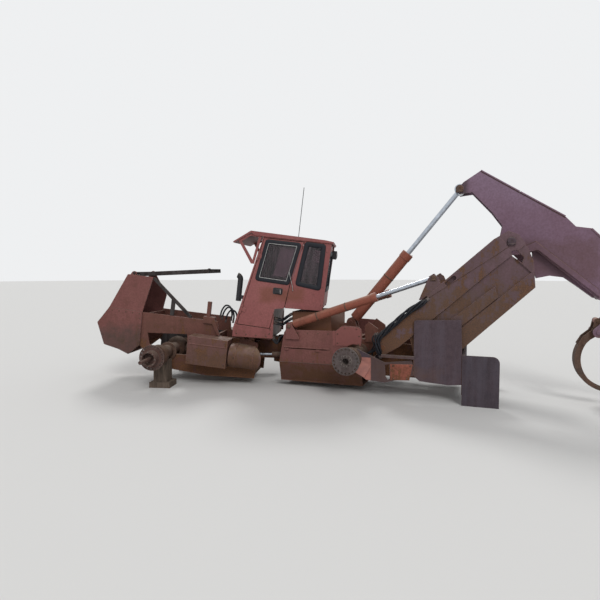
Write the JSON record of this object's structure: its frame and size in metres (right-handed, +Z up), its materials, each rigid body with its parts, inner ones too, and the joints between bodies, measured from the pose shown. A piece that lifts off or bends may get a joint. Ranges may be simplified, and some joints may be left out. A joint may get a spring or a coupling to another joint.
{
  "type": "grapple skidder",
  "caption": "Articulated grapple skidder parked without its wheels or engine: steering hinge, opening cab doors and hood, lifting arch and boom, hanging rotating grapple.",
  "frame": {"origin": "middle of the whole outline at ground level", "axes": "+Z up, front end towards -X, machine's left side towards -Y, X along the rear half"},
  "size_m": [8.7652, 3.1371, 3.3541],
  "materials": {
    "paint": "faded orange-red paint, dusty, rusting",
    "rust": "rusted and dusty steel",
    "bare_iron": "bare grey metal with light rust",
    "chrome": "plated rod, dulled",
    "black": "black, sun-bleached",
    "timber": "weathered timber blocks"
  },
  "bodies": {
    "rear": {"rear_frame": "paint", "rear_panels": "paint", "rear_axle": "rust", "tower_plates": "rust", "butt_plate": "rust"},
    "front": {"front_frame": "paint", "nose_guard": "paint", "nose_grille": "rust", "nose_brace": "rust", "side_tanks": "paint", "front_axle": "rust", "front_stand": "timber", "cab_floor": "rust", "cab_side_left": "paint", "cab_side_right": "paint", "cab_rear": "paint", "cab_front": "paint", "cab_roof": "paint", "window_guards": "black", "seat": "black", "steering_wheel": "black", "cab_fittings": "black"},
    "hub_rear_left": {"hub_rear_left": "bare_iron"},
    "hub_rear_right": {"hub_rear_right": "bare_iron"},
    "hub_front_left": {"hub_front_left": "bare_iron"},
    "hub_front_right": {"hub_front_right": "bare_iron"},
    "hood": {"hood": "rust"},
    "door_left": {"door_left": "paint"},
    "door_right": {"door_right": "paint"},
    "arch": {"arch": "paint"},
    "boom_shaft": {"boom_shaft": "bare_iron"},
    "boom": {"boom": "paint"},
    "boom_barrel": {"boom_barrel": "paint"},
    "boom_rod": {"boom_rod": "chrome"},
    "arch_barrel_left": {"arch_barrel_left": "paint"},
    "arch_barrel_right": {"arch_barrel_right": "paint"},
    "arch_rod_left": {"arch_rod_left": "chrome"},
    "arch_rod_right": {"arch_rod_right": "chrome"},
    "steer_barrel_left": {"steer_barrel_left": "rust"},
    "steer_barrel_right": {"steer_barrel_right": "rust"},
    "steer_rod_left": {"steer_rod_left": "chrome"},
    "steer_rod_right": {"steer_rod_right": "chrome"},
    "grapple_link": {"grapple_link": "rust"},
    "grapple_head": {"grapple_head": "paint"},
    "tong_left": {"tong_left": "rust"},
    "tong_right": {"tong_right": "rust"},
    "tong_barrel": {"tong_barrel": "paint"},
    "tong_rod": {"tong_rod": "chrome"}
  },
  "joints": [
    {"name": "steering", "type": "hinge", "parent": "rear", "child": "front", "pos_m": [-1.27, 0.405, 0.56], "axis": [0, 0, 1], "range_deg": [-46, 18]},
    {"name": "hub_rear_left_spin", "type": "hinge", "parent": "rear", "child": "hub_rear_left", "pos_m": [0.18, -0.745, 0.6], "axis": [0, 1, 0], "continuous": true},
    {"name": "hub_front_left_spin", "type": "hinge", "parent": "front", "child": "hub_front_left", "pos_m": [-2.80056, -1.16182, 0.5409], "axis": [-0.2419, 0.9703, 0], "continuous": true},
    {"name": "hub_rear_right_spin", "type": "hinge", "parent": "rear", "child": "hub_rear_right", "pos_m": [0.18, 1.555, 0.6], "axis": [0, 1, 0], "continuous": true},
    {"name": "hub_front_right_spin", "type": "hinge", "parent": "front", "child": "hub_front_right", "pos_m": [-3.35698, 1.06986, 0.5409], "axis": [-0.2419, 0.9703, 0], "continuous": true},
    {"name": "arch_lift", "type": "hinge", "parent": "rear", "child": "arch", "pos_m": [0.61, 0.405, 0.75], "axis": [0, -1, 0], "range_deg": [-2, 45]},
    {"name": "boom_shaft_turn", "type": "hinge", "parent": "arch", "child": "boom_shaft", "pos_m": [2.34, 0.405, 2.29], "axis": [0, -1, 0], "range_deg": [-31.57, 1.88]},
    {"name": "boom_lift", "type": "hinge", "parent": "boom_shaft", "child": "boom", "pos_m": [2.34, 0.405, 2.29], "axis": [0, -1, 0], "range_deg": [-3, 45]},
    {"name": "arch_barrel_left_swing", "type": "hinge", "parent": "rear", "child": "arch_barrel_left", "pos_m": [-0.87, -0.195, 1.021], "axis": [0, -1, 0], "range_deg": [-1.32, 19.06]},
    {"name": "arch_rod_left_stroke", "type": "slide", "parent": "arch_barrel_left", "child": "arch_rod_left", "axis": [0.944, 0, 0.33], "range_m": [-0.7532, 0.043]},
    {"name": "arch_barrel_right_swing", "type": "hinge", "parent": "rear", "child": "arch_barrel_right", "pos_m": [-0.87, 1.005, 1.021], "axis": [0, -1, 0], "range_deg": [-1.32, 19.06]},
    {"name": "arch_rod_right_stroke", "type": "slide", "parent": "arch_barrel_right", "child": "arch_rod_right", "axis": [0.944, 0, 0.33], "range_m": [-0.7532, 0.043]},
    {"name": "boom_barrel_swing", "type": "hinge", "parent": "rear", "child": "boom_barrel", "pos_m": [-0.01, 0.405, 1.055], "axis": [0, -1, 0], "range_deg": [-2.34, 42.02]},
    {"name": "boom_rod_stroke", "type": "slide", "parent": "boom_barrel", "child": "boom_rod", "axis": [0.6279, 0, 0.7783], "range_m": [-0.8025, 0.0628]},
    {"name": "steer_barrel_left_swing", "type": "hinge", "parent": "rear", "child": "steer_barrel_left", "pos_m": [-0.77, 0.185, 0.5], "axis": [0, 0, 1], "range_deg": [-24.39, 9.85]},
    {"name": "steer_rod_left_stroke", "type": "slide", "parent": "steer_barrel_left", "child": "steer_rod_left", "axis": [-0.9629, -0.2699, 0], "range_m": [-0.1001, 0.2402]},
    {"name": "steer_barrel_right_swing", "type": "hinge", "parent": "rear", "child": "steer_barrel_right", "pos_m": [-0.77, 0.625, 0.5], "axis": [0, 0, 1], "range_deg": [-24.39, 9.85]},
    {"name": "steer_rod_right_stroke", "type": "slide", "parent": "steer_barrel_right", "child": "steer_rod_right", "axis": [-0.9998, 0.02, 0], "range_m": [-0.2402, 0.1001]},
    {"name": "grapple_swing", "type": "hinge", "parent": "boom", "child": "grapple_link", "pos_m": [3.8, 0.405, 1.7], "axis": [0, -1, 0], "range_deg": [-25, 25]},
    {"name": "grapple_rotator", "type": "hinge", "parent": "grapple_link", "child": "grapple_head", "pos_m": [3.8, 0.405, 1.3995], "axis": [0, 0, 1], "continuous": true},
    {"name": "tong_left_open", "type": "hinge", "parent": "grapple_head", "child": "tong_left", "pos_m": [3.5, 0.405, 1.0395], "axis": [0, 1, 0], "range_deg": [-3, 45]},
    {"name": "tong_right_open", "type": "hinge", "parent": "grapple_head", "child": "tong_right", "pos_m": [4.1, 0.405, 1.0395], "axis": [0, -1, 0], "range_deg": [-3.5, 45.5]},
    {"name": "tong_barrel_swing", "type": "hinge", "parent": "tong_left", "child": "tong_barrel", "pos_m": [3.5, 0.405, 1.1895], "axis": [0, -1, 0], "range_deg": [-3.5, 45.5]},
    {"name": "tong_rod_stroke", "type": "slide", "parent": "tong_barrel", "child": "tong_rod", "axis": [1, 0, 0], "range_m": [-0.2171, 0.0191]},
    {"name": "hood_lift", "type": "hinge", "parent": "front", "child": "hood", "pos_m": [-3.64721, -0.18771, 1.84762], "axis": [0.2419, -0.9703, 0], "range_deg": [0, 58]},
    {"name": "door_left_swing", "type": "hinge", "parent": "front", "child": "door_left", "pos_m": [-1.72678, -0.38497, 1.03486], "axis": [-0.3062, -0.0763, -0.9489], "range_deg": [0, 75]},
    {"name": "door_right_swing", "type": "hinge", "parent": "front", "child": "door_right", "pos_m": [-2.04418, 0.88806, 1.03486], "axis": [0.3062, 0.0763, 0.9489], "range_deg": [0, 75]}
  ],
  "couplings": [
    {"joint": "boom_shaft_turn", "follows": "arch_lift", "ratio": -0.69044},
    {"joint": "arch_barrel_left_swing", "follows": "arch_lift", "ratio": 0.41249},
    {"joint": "arch_rod_left_stroke", "follows": "arch_lift", "m_per_rad": -0.9463},
    {"joint": "arch_barrel_right_swing", "follows": "arch_lift", "ratio": 0.41249},
    {"joint": "arch_rod_right_stroke", "follows": "arch_lift", "m_per_rad": -0.9463},
    {"joint": "boom_barrel_swing", "follows": "arch_lift", "ratio": 0.9226},
    {"joint": "boom_rod_stroke", "follows": "boom_lift", "m_per_rad": -1.0091},
    {"joint": "steer_barrel_left_swing", "follows": "steering", "ratio": 0.51935},
    {"joint": "steer_rod_left_stroke", "follows": "steering", "m_per_rad": -0.28677},
    {"joint": "steer_barrel_right_swing", "follows": "steering", "ratio": 0.51935},
    {"joint": "steer_rod_right_stroke", "follows": "steering", "m_per_rad": 0.28677},
    {"joint": "tong_right_open", "follows": "tong_left_open", "ratio": 1},
    {"joint": "tong_barrel_swing", "follows": "tong_left_open", "ratio": 1},
    {"joint": "tong_rod_stroke", "follows": "tong_left_open", "m_per_rad": -0.27009}
  ]
}
